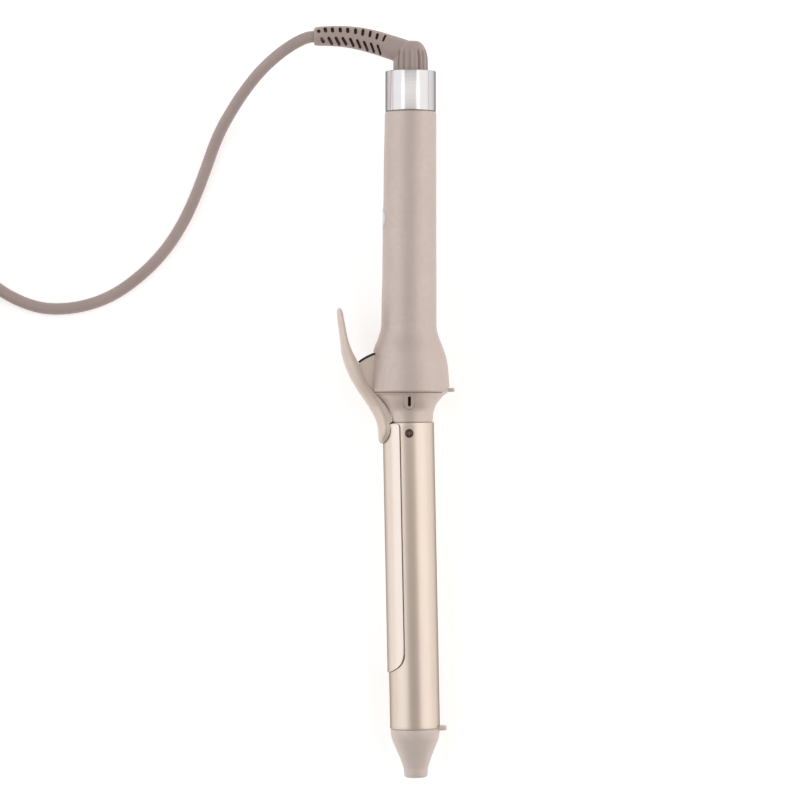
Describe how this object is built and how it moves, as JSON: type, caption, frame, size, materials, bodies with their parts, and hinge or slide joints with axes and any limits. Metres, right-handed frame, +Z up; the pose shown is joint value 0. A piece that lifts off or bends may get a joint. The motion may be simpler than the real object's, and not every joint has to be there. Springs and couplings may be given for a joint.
{
  "type": "curling iron",
  "caption": "Curling iron with a sprung clip on a coated barrel, a flared handle with a power button, and a swivelling supply cord with a two-blade plug.",
  "frame": {"origin": "centre of the iron's footprint, on the table it lies on (free cord, coil and plug left out)", "axes": "+Z up; +Y along the iron towards the cord end of the handle; the lever and clip face -X"},
  "size_m": [0.3332, 0.383, 0.04],
  "materials": {
    "handle_shell": "soft-touch matte",
    "trim": "satin moulded",
    "dark_trim": "satin moulded",
    "cord_rubber": "matte, soft",
    "chrome_band": "polished plating",
    "barrel_coating": "satin pearl coating",
    "button": "glossy",
    "black_part": "matte",
    "steel": "bright",
    "brass": "bright",
    "white_plastic": "natural",
    "board": "laminate",
    "lead_red": "wire insulation",
    "lead_blue": "wire insulation",
    "heater_aluminium": "extruded"
  },
  "bodies": {
    "cord_set": {"swivel_elbow": "cord_rubber", "swivel_spindle": "steel", "slip_ring_live": "brass", "slip_ring_neutral": "brass", "supply_cord": "cord_rubber", "supply_cord_end": "cord_rubber", "cord_coil": "cord_rubber", "cord_tie": "black_part", "plug_body": "cord_rubber", "plug_blade_wide": "brass", "plug_blade_narrow": "brass"},
    "iron": {"handle_shell_upper": "handle_shell", "handle_shell_lower": "handle_shell", "handle_screw_top": "steel", "handle_screw_bottom": "steel", "end_band": "chrome_band", "end_cap": "dark_trim", "swivel_housing": "white_plastic", "brush_live": "brass", "brush_neutral": "brass", "button_bezel": "dark_trim", "control_board": "board", "tact_switch": "black_part", "triac": "black_part", "lead_live": "lead_red", "lead_neutral": "lead_blue", "collar": "trim", "barrel_tube": "barrel_coating", "barrel_tip": "dark_trim", "barrel_screw_near": "black_part", "barrel_screw_far": "black_part", "heater_block_upper": "heater_aluminium", "heater_block_lower": "heater_aluminium", "heating_element": "white_plastic", "heater_spring": "steel", "temperature_sensor": "white_plastic", "thermal_fuse": "white_plastic", "heater_lead_live": "lead_red", "heater_lead_neutral": "lead_blue", "sensor_lead": "white_plastic", "pivot_pin": "steel", "torsion_spring": "steel"},
    "lever": {"thumb_lever": "trim", "lever_edge_strip": "black_part", "clip_plate": "barrel_coating", "clip_screw_upper": "steel", "clip_screw_lower": "steel"},
    "button": {"power_button": "button"}
  },
  "joints": [
    {"name": "cord_swivel", "type": "hinge", "parent": "cord_set", "child": "iron", "pos_m": [0.01343, 0.17114, 0.02702], "axis": [0, 0.9991, 0.0424], "continuous": true},
    {"name": "clip_lever", "type": "hinge", "parent": "iron", "child": "lever", "pos_m": [0.00496, -0.00288, 0.01963], "axis": [0, 0.0424, -0.9991], "range_deg": [0, 16], "stiffness_Nm_per_rad": 0.6, "springref_deg": -20.05, "deforming": ["torsion_spring"]},
    {"name": "power_button_press", "type": "slide", "parent": "iron", "child": "button", "axis": [1, 0, 0], "range_m": [0, 0.0008], "stiffness_N_per_m": 800, "springref_m": -0.001}
  ]
}
